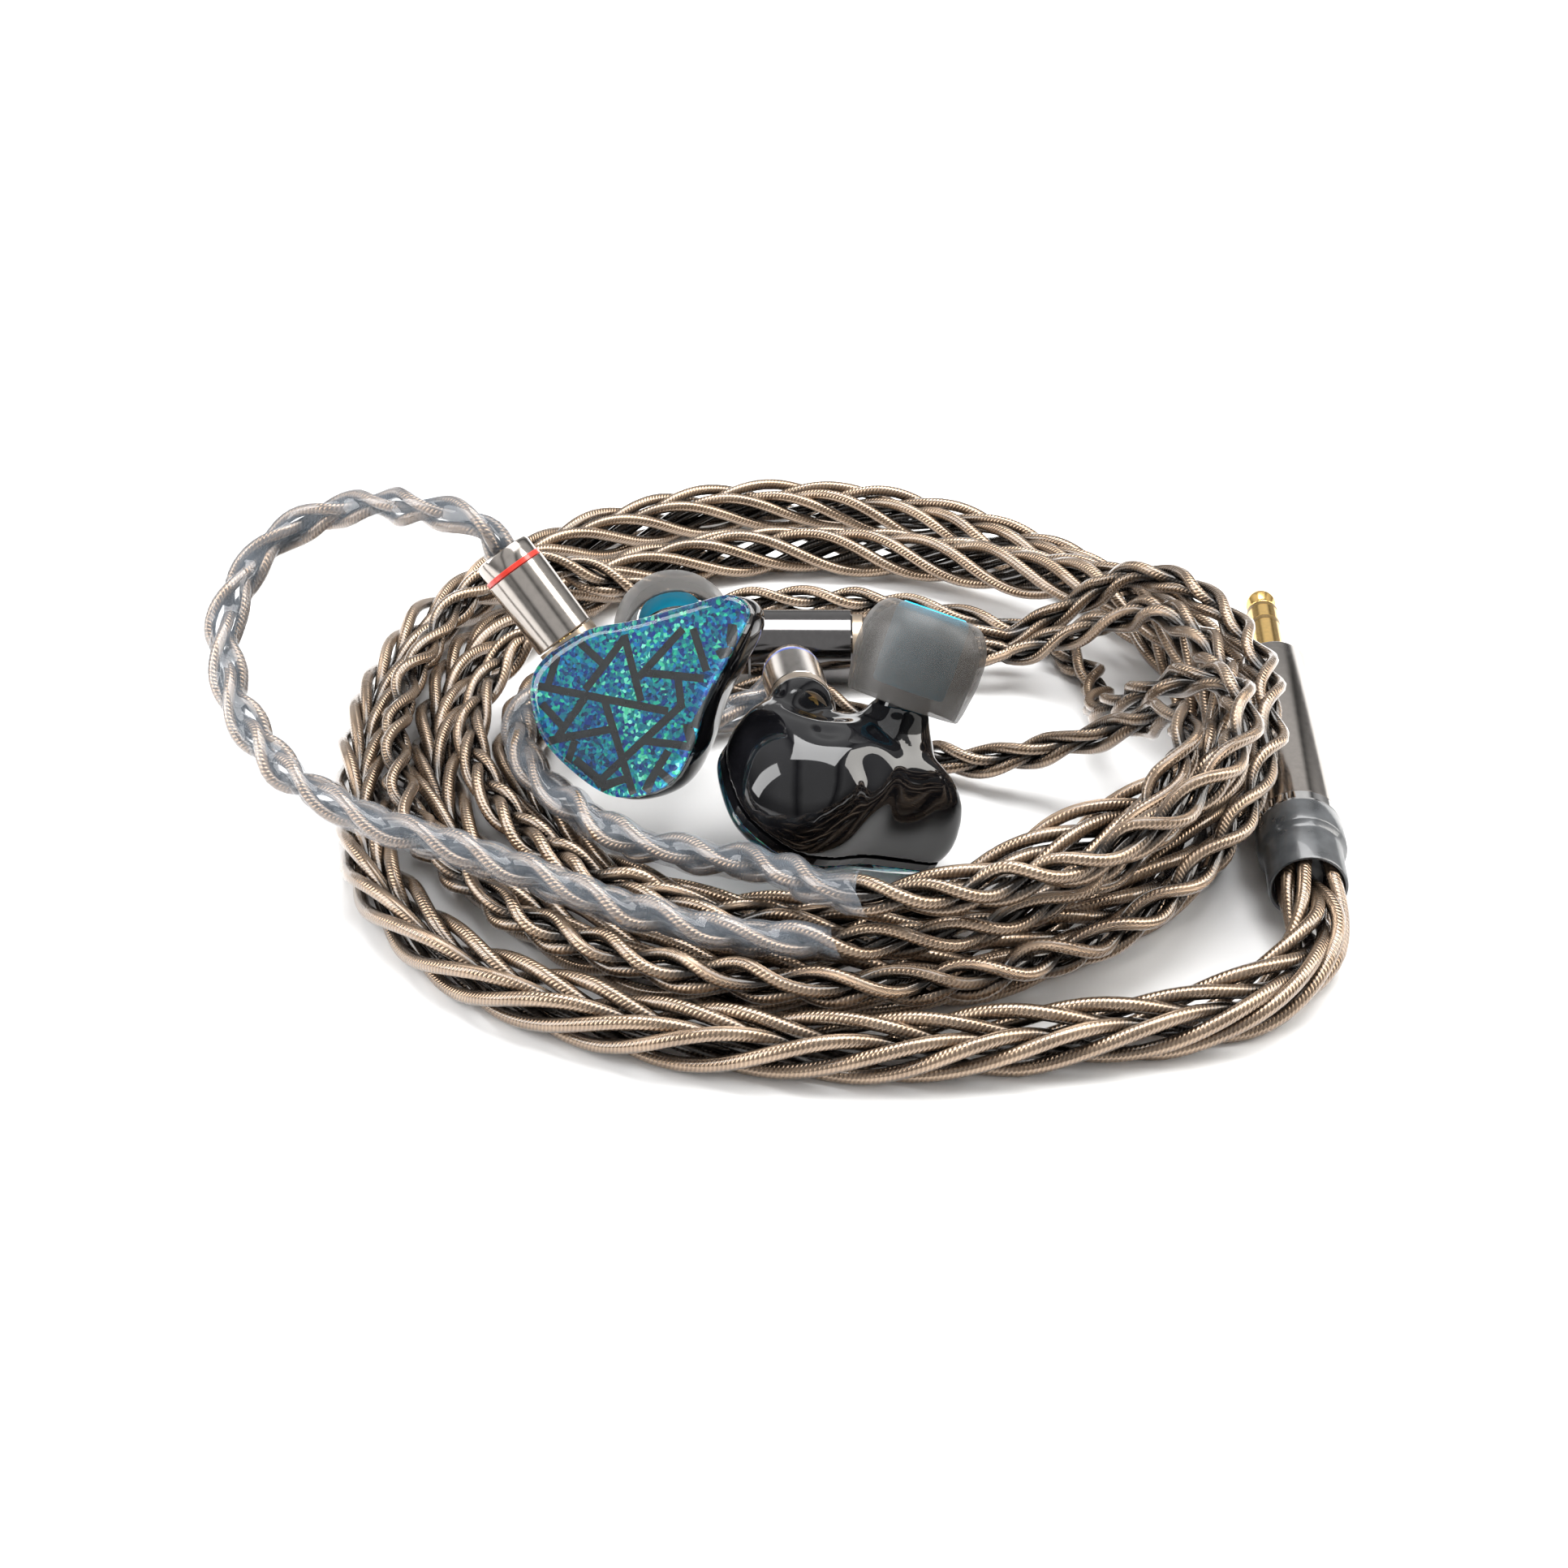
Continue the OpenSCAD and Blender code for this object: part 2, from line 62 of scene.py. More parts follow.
# Distances along the plug from its cable end, and along the splitter from its main cable's end
MOUTH_L, BOOT_END, FLANGE_END, HOUSING_END, SHAFT = 3, 9, 10.5, 41.5, 42.5
SPLITTER_END, COLLAR_END, SLIDER_START, SLIDER_END = 11.5, 12.7, 13.2, 18.2
# Distances along the nozzle, and the ear tip's widest radius and its wall
TIP_START, CORE_START, CORE_STEP, TIP_END = 6.5, 8, 13.5, 16
TIP_R, TIP_WALL = 6.2, 0.6
# Lengths at a side cable's two ends. Its bends aren't eased in CAP_STRAIGHT and SPLITTER_STRAIGHT,
# its strands are drawn together in CAP_SNUG and SPLITTER_STRAIGHT, and it keeps to the slider's
# axis in SLIDER_RUN. Each comes in over END_BLEND.
CAP_STRAIGHT, CAP_SNUG, SPLITTER_STRAIGHT, SLIDER_RUN, END_BLEND = 5.5, 10, 34, 16, 4
# Each braid has two sets of strands: strands in a set and their radius, how far a set's middle
# is from the cable's, the half width and half depth of a set's turns, the length of a turn, the
# roll of the braid, how loosely the strands lie, and how much they are drawn together at the ends
MAIN_BRAID = dict(per_set=4, radius=0.68, middle=1.2, lobe=1.05, depth=2.15, cycle=30.0, roll=0.2,
                  looseness=1.0, snug=0)
SIDE_BRAID = dict(per_set=2, radius=0.6, middle=0.66, lobe=0.58, depth=1.03, cycle=13.0, roll=0.6,
                  looseness=1.6, snug=0.14)
MAIN_STEP, SIDE_STEP = 1.0, 0.8

MAIN_ROUTE = [
    (49, -12, 4.3), (48, -20, 3.8), (40, -27.5, 3.2), (24, -31.5, 3.1), (6, -33, 3.1),
    (-12, -30.5, 3.1), (-28, -22.5, 3.1), (-38.5, -9, 3.1), (-43, 9, 3.1), (-43, 28, 3.1),
    (-37, 46, 3.1), (-24, 61, 3.1), (-6, 69.5, 3.1), (13, 68, 3.1), (30, 57, 3.1),
    (41.5, 41, 3.1), (45, 22, 3.1), (43.2, 3, 3.1), (33.5, -12, 3.1), (18, -22, 3.1),
    (0, -24.5, 3.1), (-17, -19, 3.1), (-30, -6, 3.1), (-35.8, 11, 3.1), (-34.8, 30, 3.1),
    (-25, 46, 3.1), (-9, 56.5, 3.1), (9, 57.5, 3.3), (26, 49.5, 5), (39, 35.5, 9),
    (45, 18, 9.6), (42, 0, 9.8), (29.5, -9, 8.5), (13, -14.5, 4), (-5, -15.5, 3.1),
    (-18.5, -7.5, 3.1), (-27, 9, 3.1), (-25, 25, 3.1), (-14, 33, 3.6), (-4, 33, 4.2)]
THIN_ROUTE = {
    "right": [
        (8.7, 31.25, 4.2), (17, 31.25, 4.2), (25, 31.25, 4.2), (33, 28.5, 9),
        (39.5, 23.5, 14), (43, 14, 14.8), (43, 3, 15.1), (38.5, -7, 14), (30, -15.5, 9),
        (19, -18, 7.8), (5, -19.9, 7), (-8, -18.8, 7), (-19, -12.2, 6.8),
        (-27.6, -1.6, 6.6), (-32, 11.5, 6.2), (-30.5, 25, 6.9), (-26.3, 28.8, 8.7),
        (-21.5, 27.7, 8.8), (-18.4, 25, 6.6), (-15, 23.8, 2.6), (-9, 26, 1.8),
        (-3, 27.3, 1.8), (3.5, 26.6, 1.8), (9, 21, 1.8), (14, 14.5, 1.8), (21, 11, 3.2),
        (28, 9, 6.6), (34.5, 5.5, 11.5), (37.5, -1, 16.8), (36.5, -9, 17.6),
        (30, -17, 12.6), (22, -22, 9.4), (13.5, -24.8, 8.6), (4.5, -25.5, 8.5)],
    "left": [
        (8.7, 34.75, 4.2), (17, 34.75, 4.2), (25, 34.75, 4.2), (31.5, 34.2, 8.4),
        (37.5, 31.5, 13.9), (43, 26, 15.4), (47, 16, 14.7), (47, 3, 14.4),
        (42.5, -10, 11.4), (33, -19.5, 7.4), (20, -26.6, 6.2), (5, -28.8, 6.3),
        (-8, -27.2, 6.4), (-18.2, -23, 6.4), (-26.2, -17, 6.5), (-34.8, -5.7, 6.5),
        (-39.5, 10, 6.4), (-39.3, 26, 6.7), (-34.5, 38.5, 8.6), (-26, 43.5, 8.9),
        (-18, 44, 5.2), (-10, 46, 1.8), (0, 47.5, 1.8), (12, 46.5, 1.8), (22, 43, 1.8),
        (30, 38, 1.8), (34.5, 29, 1.8), (33, 19, 4.5), (34.5, 12, 9.8), (38, 6.5, 15.6),
        (42.5, 0.5, 19.2), (41.5, -9, 19), (35, -17.3, 16.8), (25, -22, 14),
        (14.5, -24.5, 12.8), (5, -24, 12.7)]}
HOOK_ROUTE = {
    "right": [
        (4.5, -25.5, 8.5), (-6, -24, 8.6), (-16, -20.5, 9.2), (-26, -16, 10.4),
        (-36.5, -11.5, 11), (-45, -6.5, 12), (-51.5, 0.5, 14.5), (-55, 9, 18),
        (-54.5, 16.5, 21.3), (-50.5, 21.5, 24.2), (-44.5, 22.5, 26.6), (-39, 19.7, 28),
        (-34, 16.8, 29.2)],
    "left": [
        (5, -24, 12.7), (-1, -18, 11.2), (-8, -13.7, 9.2), (-15, -10, 8.6),
        (-21.2, -3.8, 8.7), (-25.8, 4, 8.6), (-27, 11, 8.6), (-24.7, 15.8, 8.7),
        (-19.5, 18.4, 5.6), (-14, 19.5, 2.4), (-8, 20.4, 2.2), (-3, 22.8, 2.8),
        (0.6, 24.3, 5.4), (1.3, 22.8, 8.2)]}

# ---- Geometry helpers ----


def metres(points):
    """Layout millimetres to frame metres."""
    return (np.asarray(points, float) + SHIFT) * MM


def turned(side, vectors):
    """Earpiece directions to frame directions; the left earpiece is mirrored."""
    v = np.array(vectors, float).reshape(-1, 3)
    if side == "left":
        v[:, 0] *= -1
    turn = Euler([math.radians(a) for a in EAR_TURN[side]]).to_matrix()
    return v @ np.array(turn).T


def on_ear(side, points):
    """Earpiece millimetres to layout millimetres."""
    return turned(side, points) + np.array(EAR_POS[side])


def unit(v):
    v = np.asarray(v, float)
    return v / np.linalg.norm(v, axis=-1, keepdims=True)


def curve(points, per_span, closed=False):
    """Catmull-Rom curve through points."""
    p = np.asarray(points, float)
    n = len(p)
    spans = n if closed else n - 1
    pick = (lambda i: p[i % n]) if closed else (lambda i: p[min(max(i, 0), n - 1)])
    out = []
    for i in range(spans):
        a, b, c, d = pick(i - 1), pick(i), pick(i + 1), pick(i + 2)
        for t in np.arange(per_span) / per_span:
            out.append(0.5 * (2 * b + (c - a) * t + (2 * a - 5 * b + 4 * c - d) * t * t
                              + (3 * b - a - 3 * c + d) * t ** 3))
    if not closed:
        out.append(p[-1])
    return np.array(out)


def even(points, step):
    """The same line with points a step apart."""
    s = np.r_[0, np.cumsum(np.linalg.norm(np.diff(points, axis=0), axis=1))]
    at = np.linspace(0, s[-1], max(int(s[-1] / step), 2) + 1)
    return np.column_stack([np.interp(at, s, points[:, k]) for k in range(3)]), at


def headings(p):
    return unit(np.gradient(p, axis=0))


def level_frame(p):
    """Sideways and upward directions along a line."""
    t = headings(p)
    u = unit(np.cross(t, [0, 0, 1]))
    return u, np.cross(u, t)


def carried_frame(p):
    """Two directions across a line that turn as little as they can."""
    t = headings(p)
    u = np.zeros_like(p)
    u[0] = unit(np.cross(t[0], [0.3, 0.2, 1]))
    for i in range(1, len(p)):
        v = u[i - 1] - t[i] * np.dot(u[i - 1], t[i])
        u[i] = v / np.linalg.norm(v)
    return u, np.cross(t, u)


def grid_faces(rows, cols, first=0):
    i, j = np.meshgrid(np.arange(rows - 1), np.arange(cols), indexing="ij")
    k = (j + 1) % cols
    quads = np.stack([i * cols + j, (i + 1) * cols + j, (i + 1) * cols + k, i * cols + k], -1)
    return (quads.reshape(-1, 4) + first).tolist()


def capped_faces(rows, cols, first=0):
    """Faces of a stack of rings, with its two ends closed."""
    last = first + (rows - 1) * cols
    ends = [list(range(first, first + cols)), list(range(last, last + cols))]
    return grid_faces(rows, cols, first) + ends


def turned_rings(base, direction, reference, profile, sides):
    """Rings for (distance, radius) pairs about an axis through base."""
    d = unit(direction)
    u = unit(np.cross(d, reference))
    v = np.cross(d, u)
    a = 2 * np.pi * np.arange(sides) / sides
    return [np.asarray(base) + z * d + r * (np.cos(a)[:, None] * u + np.sin(a)[:, None] * v)
            for z, r in profile]


def piece(name, verts, faces, material, body=ROOT, uv=None, depth=None, smooth=True):
    """Makes a mesh object from vertices in metres and rides it on a body."""
    mesh = bpy.data.meshes.new(name)
    mesh.from_pydata(np.asarray(verts).tolist(), [], faces)
    if uv is not None:
        loops = np.zeros(len(mesh.loops), int)
        mesh.loops.foreach_get("vertex_index", loops)
        for layer_name, values in (("along", uv), ("depth", depth)):
            layer = mesh.uv_layers.new(name=layer_name)
            layer.data.foreach_set("uv", np.asarray(values)[loops].ravel())
    bm = bmesh.new()
    bm.from_mesh(mesh)
    bmesh.ops.recalc_face_normals(bm, faces=bm.faces)
    bm.to_mesh(mesh)
    bm.free()
    for face in mesh.polygons:
        face.use_smooth = smooth
    mesh.materials.append(material)
    obj = bpy.data.objects.new(name, mesh)
    bpy.context.scene.collection.objects.link(obj)
    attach(obj, body)
    return obj


def sharpen(obj, degrees=35):
    """Splits the shading at edges sharper than this."""
    bm = bmesh.new()
    bm.from_mesh(obj.data)
    for edge in bm.edges:
        if len(edge.link_faces) == 2 and edge.calc_face_angle() > math.radians(degrees):
            edge.smooth = False
    bm.to_mesh(obj.data)
    bm.free()


def tubes(name, lines, middle, radius, material, sides=8, body=ROOT):
    """One mesh of round strands round a middle line.

    UV "along" is distance along in mm and turn round the strand; "depth" is how near the
    cable's own surface a place is, from 0 in the middle to 1 outside, and sets the painted shade
    inside the braid.
    """
    verts, faces, uv, depth = [], [], [], []
    for line in lines:
        u, v = carried_frame(line)
        first = sum(len(x) for x in verts)
        a = 2 * np.pi * np.arange(sides) / sides
        rings = (line[:, None] + radius * (np.cos(a)[None, :, None] * u[:, None]
                                           + np.sin(a)[None, :, None] * v[:, None]))
        along = np.r_[0, np.cumsum(np.linalg.norm(np.diff(line, axis=0), axis=1))]
        verts.append(rings.reshape(-1, 3))
        uv.append(np.column_stack([np.repeat(along, sides), np.tile(a, len(line))]))
        # Distance of each place from the cable's middle, which the strand material turns into painted shade
        # inside the braid
        out = np.linalg.norm(rings - middle[:, None], axis=2)
        depth.append(np.column_stack([out.ravel(), np.zeros(out.size)]))
        faces += capped_faces(len(line), sides, first)
    depth = np.vstack(depth)
    depth[:, 0] = np.clip(depth[:, 0] / np.percentile(depth[:, 0], 97), 0, 1)
    return piece(name, metres(np.vstack(verts)), faces, material, body, np.vstack(uv), depth)


def lathe(name, base, direction, profile, material, body=ROOT, sides=64, closed=False):
    """Turns (distance, radius) pairs about an axis through base; layout millimetres."""
    rows = turned_rings(base, direction, [0.1, 0.2, 1], profile, sides)
    if closed:
        last = (len(rows) - 1) * sides
        faces = grid_faces(len(rows), sides)
        faces += [[last + j, j, (j + 1) % sides, last + (j + 1) % sides] for j in range(sides)]
    else:
        faces = capped_faces(len(rows), sides)
    obj = piece(name, metres(np.vstack(rows)), faces, material, body)
    sharpen(obj)
    return obj


def turned_part(z0, z1, r, chamfer=0.2, bore=0.0):
    """Profile of a plain turned part with chamfered edges and an optional bore."""
    outside = [(z0, r - chamfer), (z0 + chamfer, r), (z1 - chamfer, r), (z1, r - chamfer)]
    if not bore:
        return outside
    return [(z0, bore)] + outside + [(z1, bore)]


# ---- Materials ----


def material(name, colour, rough, metal=0.0, coat=0.0, vary=0.25, scale=900.0, bump=0.05,
             **settings):
    """Principled material whose colour and roughness vary with fine noise."""
    mat = bpy.data.materials.new(name)
    mat.use_nodes = True
    nodes, links = mat.node_tree.nodes, mat.node_tree.links
    shader = nodes["Principled BSDF"]
    shader.inputs["Metallic"].default_value = metal
    shader.inputs["Coat Weight"].default_value = coat
    shader.inputs["Coat Roughness"].default_value = 0.04
    for key, value in settings.items():
        shader.inputs[key.replace("_", " ")].default_value = value
    place = nodes.new("ShaderNodeTexCoord")
    noise = nodes.new("ShaderNodeTexNoise")
    noise.inputs["Scale"].default_value = scale
    noise.inputs["Detail"].default_value = 4
    links.new(place.outputs["Object"], noise.inputs["Vector"])
    ramp = nodes.new("ShaderNodeValToRGB")
    ramp.color_ramp.elements[0].position = 0.3
    ramp.color_ramp.elements[1].position = 0.7
    ramp.color_ramp.elements[0].color = [c * (1 - vary) for c in colour] + [1]
    ramp.color_ramp.elements[1].color = [min(c * (1 + vary), 1) for c in colour] + [1]
    links.new(noise.outputs["Fac"], ramp.inputs["Fac"])
    links.new(ramp.outputs["Color"], shader.inputs["Base Color"])
    spread = nodes.new("ShaderNodeMapRange")
    spread.inputs["To Min"].default_value = rough * 0.7
    spread.inputs["To Max"].default_value = rough * 1.3
    links.new(noise.outputs["Fac"], spread.inputs["Value"])
    links.new(spread.outputs["Result"], shader.inputs["Roughness"])
    if bump:
        relief = nodes.new("ShaderNodeBump")
        relief.inputs["Strength"].default_value = bump
        relief.inputs["Distance"].default_value = 0.0001
        links.new(noise.outputs["Fac"], relief.inputs["Height"])
        links.new(relief.outputs["Normal"], shader.inputs["Normal"])
    return mat


def strand_material():
    """Twisted bronze wire seen through a clear glossy jacket, with painted shade towards the middle of the
    braid.
    """
    mat = bpy.data.materials.new("bronze_strand")
    mat.use_nodes = True
    nodes, links = mat.node_tree.nodes, mat.node_tree.links
    shader = nodes["Principled BSDF"]
    shader.inputs["Metallic"].default_value = 0.85
    shader.inputs["Coat Weight"].default_value = 0.8
    shader.inputs["Coat Roughness"].default_value = 0.06
    uv = nodes.new("ShaderNodeUVMap")
    uv.uv_map = "along"
    split = nodes.new("ShaderNodeSeparateXYZ")
    links.new(uv.outputs["UV"], split.inputs["Vector"])
    # Fine wires: five stripes that climb round the strand, 0.42 mm apart along it
    wire_gap, wires_round = 0.42, 5
    climb = nodes.new("ShaderNodeMath")
    climb.operation = "MULTIPLY_ADD"
    climb.inputs[1].default_value = 2 * math.pi / wire_gap
    links.new(split.outputs["X"], climb.inputs[0])
    around = nodes.new("ShaderNodeMath")
    around.operation = "MULTIPLY"
    around.inputs[1].default_value = wires_round
    links.new(split.outputs["Y"], around.inputs[0])
    links.new(around.outputs[0], climb.inputs[2])
    wave = nodes.new("ShaderNodeMath")
    wave.operation = "SINE"
    links.new(climb.outputs[0], wave.inputs[0])
    ramp = nodes.new("ShaderNodeValToRGB")
    ramp.color_ramp.elements[0].color = (0.085, 0.052, 0.032, 1)
    ramp.color_ramp.elements[1].color = (0.4, 0.29, 0.2, 1)
    level = nodes.new("ShaderNodeMapRange")
    level.inputs["From Min"].default_value = -1
    links.new(wave.outputs[0], level.inputs["Value"])
    place = nodes.new("ShaderNodeTexCoord")
    noise = nodes.new("ShaderNodeTexNoise")
    noise.inputs["Scale"].default_value = 260
    links.new(place.outputs["Object"], noise.inputs["Vector"])
    blend = nodes.new("ShaderNodeMath")
    blend.operation = "MULTIPLY_ADD"
    blend.inputs[1].default_value = 0.45
    links.new(level.outputs["Result"], blend.inputs[0])
    offset = nodes.new("ShaderNodeMath")
    offset.operation = "MULTIPLY"
    offset.inputs[1].default_value = 0.8
    links.new(noise.outputs["Fac"], offset.inputs[0])
    links.new(offset.outputs[0], blend.inputs[2])
    links.new(blend.outputs[0], ramp.inputs["Fac"])
    # Painted shade: darker towards the middle of the braid, where the strands shade each other
    inner = nodes.new("ShaderNodeUVMap")
    inner.uv_map = "depth"
    reach = nodes.new("ShaderNodeSeparateXYZ")
    links.new(inner.outputs["UV"], reach.inputs["Vector"])
    painted_shade_amount = nodes.new("ShaderNodeMapRange")
    painted_shade_amount.interpolation_type = "SMOOTHSTEP"
    painted_shade_amount.inputs["From Min"].default_value = 0.38
    painted_shade_amount.inputs["From Max"].default_value = 0.9
    painted_shade_amount.inputs["To Min"].default_value = 0.05
    links.new(reach.outputs["X"], painted_shade_amount.inputs["Value"])
    painted_shade = nodes.new("ShaderNodeVectorMath")
    painted_shade.operation = "SCALE"
    links.new(ramp.outputs["Color"], painted_shade.inputs[0])
    links.new(painted_shade_amount.outputs["Result"], painted_shade.inputs["Scale"])
    links.new(painted_shade.outputs["Vector"], shader.inputs["Base Color"])
    rough = nodes.new("ShaderNodeMapRange")
    rough.inputs["To Min"].default_value = 0.2
    rough.inputs["To Max"].default_value = 0.34
    links.new(noise.outputs["Fac"], rough.inputs["Value"])
    links.new(rough.outputs["Result"], shader.inputs["Roughness"])
    relief = nodes.new("ShaderNodeBump")
    relief.inputs["Strength"].default_value = 0.5
    relief.inputs["Distance"].default_value = 0.00005
    links.new(wave.outputs[0], relief.inputs["Height"])
    links.new(relief.outputs["Normal"], shader.inputs["Normal"])
    return mat


def opal_material():
    """Fine blue, teal and green opal flakes, of about 0.3 mm; the brightest flakes also carry painted
    glints.
    """
    mat = bpy.data.materials.new("opal_flakes")
    mat.use_nodes = True
    nodes, links = mat.node_tree.nodes, mat.node_tree.links
    shader = nodes["Principled BSDF"]
    place = nodes.new("ShaderNodeTexCoord")
    flakes = nodes.new("ShaderNodeTexVoronoi")
    flakes.inputs["Scale"].default_value = 3200
    links.new(place.outputs["Object"], flakes.inputs["Vector"])
    drift = nodes.new("ShaderNodeTexNoise")
    drift.inputs["Scale"].default_value = 160
    links.new(place.outputs["Object"], drift.inputs["Vector"])
    split = nodes.new("ShaderNodeSeparateColor")
    links.new(flakes.outputs["Color"], split.inputs["Color"])
    pick = nodes.new("ShaderNodeMath")
    pick.operation = "MULTIPLY_ADD"
    pick.inputs[1].default_value = 0.75
    links.new(split.outputs["Red"], pick.inputs[0])
    wide = nodes.new("ShaderNodeMapRange")
    wide.inputs["From Min"].default_value = 0.3
    wide.inputs["From Max"].default_value = 0.7
    wide.inputs["To Max"].default_value = 0.28
    links.new(drift.outputs["Fac"], wide.inputs["Value"])
    links.new(wide.outputs["Result"], pick.inputs[2])
    ramp = nodes.new("ShaderNodeValToRGB")
    # Flake colours from dark blue to teal; the top stops, bright green and pale cyan, are partly the opal's
    # own colour and partly painted glints
    stops = [(0.0, (0.0, 0.01, 0.03)), (0.22, (0.0, 0.04, 0.12)), (0.36, (0.0, 0.03, 0.26)),
             (0.5, (0.0, 0.15, 0.24)), (0.64, (0.0, 0.28, 0.26)), (0.76, (0.0, 0.16, 0.5)),
             (0.88, (0.02, 0.6, 0.3)), (1.0, (0.3, 1.0, 0.8))]
    while len(ramp.color_ramp.elements) < len(stops):
        ramp.color_ramp.elements.new(0.5)
    for element, (position, colour) in zip(ramp.color_ramp.elements, stops):
        element.position = position
        element.color = (*colour, 1)
    links.new(pick.outputs[0], ramp.inputs["Fac"])
    links.new(ramp.outputs["Color"], shader.inputs["Base Color"])
    shader.inputs["Metallic"].default_value = 0.4
    rough = nodes.new("ShaderNodeMapRange")
    rough.inputs["To Min"].default_value = 0.2
    rough.inputs["To Max"].default_value = 0.45
    links.new(split.outputs["Green"], rough.inputs["Value"])
    links.new(rough.outputs["Result"], shader.inputs["Roughness"])
    relief = nodes.new("ShaderNodeBump")
    relief.inputs["Strength"].default_value = 0.6
    relief.inputs["Distance"].default_value = 0.0001
    links.new(split.outputs["Blue"], relief.inputs["Height"])
    links.new(relief.outputs["Normal"], shader.inputs["Normal"])
    return mat


BRONZE = strand_material()
OPAL = opal_material()
RESIN = material("black_resin", (0.004, 0.004, 0.005), 0.05, vary=0.4, scale=300, bump=0.01)
CLEAR = material("clear_resin", (0.97, 1.0, 1.0), 0.02, vary=0.01, scale=200, bump=0.004,
                 Transmission_Weight=1.0, IOR=1.45)
SHARD = material("shard_lines", (0.004, 0.006, 0.008), 0.3, scale=2000)
SLEEVE = material("clear_sleeve", (0.3, 0.34, 0.39), 0.08, vary=0.2, scale=450, bump=0.06, coat=1.0,
                  Alpha=0.27)
GUNMETAL = material("gunmetal", (0.42, 0.385, 0.355), 0.16, metal=1.0, vary=0.06, scale=1500, bump=0.01)
DARK_CHROME = material("dark_chrome", (0.13, 0.125, 0.125), 0.09, metal=1.0, vary=0.06, scale=1500,
                       bump=0.01)
CHROME = material("chrome", (0.66, 0.65, 0.64), 0.08, metal=1.0, vary=0.05, scale=1500, bump=0.01)
CHAMPAGNE = material("champagne", (0.46, 0.37, 0.28), 0.32, metal=1.0, vary=0.08, scale=3000, bump=0.05)
GOLD = material("gold", (0.83, 0.55, 0.2), 0.2, metal=1.0, vary=0.05, scale=2000, bump=0.02)
STEEL = material("steel", (0.55, 0.55, 0.56), 0.3, metal=1.0, vary=0.1, scale=4000)
BLACK = material("black_plastic", (0.015, 0.015, 0.016), 0.4, scale=3000)
DARK_BAND = material("dark_band", (0.16, 0.1, 0.03), 0.35, metal=0.4, scale=3000)
RED = material("red_enamel", (0.62, 0.03, 0.015), 0.3, coat=0.6, scale=2500, vary=0.1)
BLUE = material("blue_enamel", (0.012, 0.06, 0.42), 0.3, coat=0.6, scale=2500, vary=0.1)
TEAL = material("teal_silicone", (0.0, 0.5, 0.8), 0.45, vary=0.08, scale=700, bump=0.04)
SILICONE = material("grey_silicone", (0.1, 0.095, 0.09), 0.38, vary=0.05, scale=800, bump=0.03,
                    Alpha=0.62, Specular_IOR_Level=0.4)
BOOT = material("smoky_boot", (0.07, 0.075, 0.08), 0.3, coat=0.35, vary=0.3, scale=500, bump=0.08,
                Transmission_Weight=0.2)
BOARD = material("circuit_board", (0.02, 0.14, 0.05), 0.5)
COPPER = material("copper", (0.7, 0.3, 0.14), 0.3, metal=1.0)
SOFT_TUBE = material("soft_tube", (0.7, 0.75, 0.78), 0.3)

# ---- Camera, to the front, 34 degrees above the floor ----

CAMERA_TARGET = metres([0, 0, 8])
CAMERA_RISE, CAMERA_REACH = math.radians(34), 0.205
camera = bpy.data.objects.new("camera", bpy.data.cameras.new("camera"))
camera.data.lens = 48.45
camera.data.sensor_width = 36
camera.data.clip_start = 0.01
camera.location = CAMERA_TARGET + CAMERA_REACH * np.array(
    [0, -math.cos(CAMERA_RISE), math.sin(CAMERA_RISE)])
camera.rotation_euler = (math.pi / 2 - CAMERA_RISE, 0, 0)
bpy.context.scene.collection.objects.link(camera)
bpy.context.scene.camera = camera

# ---- Cords ----

RNG = np.random.default_rng(7)


def wander(at, wavelength, size):
    """Smooth seeded wander along a line."""
    values = RNG.normal(0, size, int(at[-1] / wavelength) + 3)
    i = (at / wavelength).astype(int)
    f = at / wavelength - i
    return values[i] + (values[i + 1] - values[i]) * f * f * (3 - 2 * f)


def braid(line, at, frame_of, per_set, radius, middle, lobe, depth, cycle, roll, looseness, snug):
    """Two sets of strands that circle side by side in opposite directions."""
    u, v = frame_of(line)
    turn = roll + wander(at, 45, 0.35)
    c, s = np.cos(turn)[:, None], np.sin(turn)[:, None]
    u, v = c * u + s * v, c * v - s * u
    past_end = np.maximum(at - at[-1] + SPLITTER_STRAIGHT, CAP_SNUG - at)
    near_end = np.clip(past_end / END_BLEND, 0, 1)
    strands = []
    for way in (-1, 1):
        for k in range(per_set):
            phase = at / cycle + k / per_set + (0.5 / per_set if way > 0 else 0)
            phase = 2 * np.pi * (phase + wander(at, cycle, looseness * 0.03))
            swell = 1 + wander(at, cycle * 0.4, looseness * 0.08) * (1 - near_end) - snug * near_end
            x = way * (middle - lobe * np.cos(phase)) * swell
            y = depth * np.sin(phase) * swell
            strand = line + x[:, None] * u + y[:, None] * v
            strand[:, 2] = np.maximum(strand[:, 2], radius)
            strands.append(strand)
    return strands


def laid(points, radius, step, ease=0):
    """Smooth evenly stepped line that never sinks below the floor, with its bends eased."""
    line, at = even(curve(points, 14), step)
    inside = np.minimum(at - CAP_STRAIGHT, at[-1] - at - SPLITTER_STRAIGHT)
    free = np.clip(inside / END_BLEND, 0, 1)[1:-1, None]
    for _ in range(ease):
        line[1:-1] += 0.25 * free * (line[:-2] - 2 * line[1:-1] + line[2:])
    line, at = even(line, step)
    line[:, 2] = np.maximum(line[:, 2], radius)
    return line, at


def socket_point(side, distance):
    return on_ear(side, np.array(SOCKET_BASE) + distance * unit(SOCKET_DIR))[0]


plug_axis = np.array([math.cos(math.radians(PLUG_HEADING)), math.sin(math.radians(PLUG_HEADING)), 0])
CAP_END = CONNECTOR_START + BARREL_L + RING_W + CAP_L


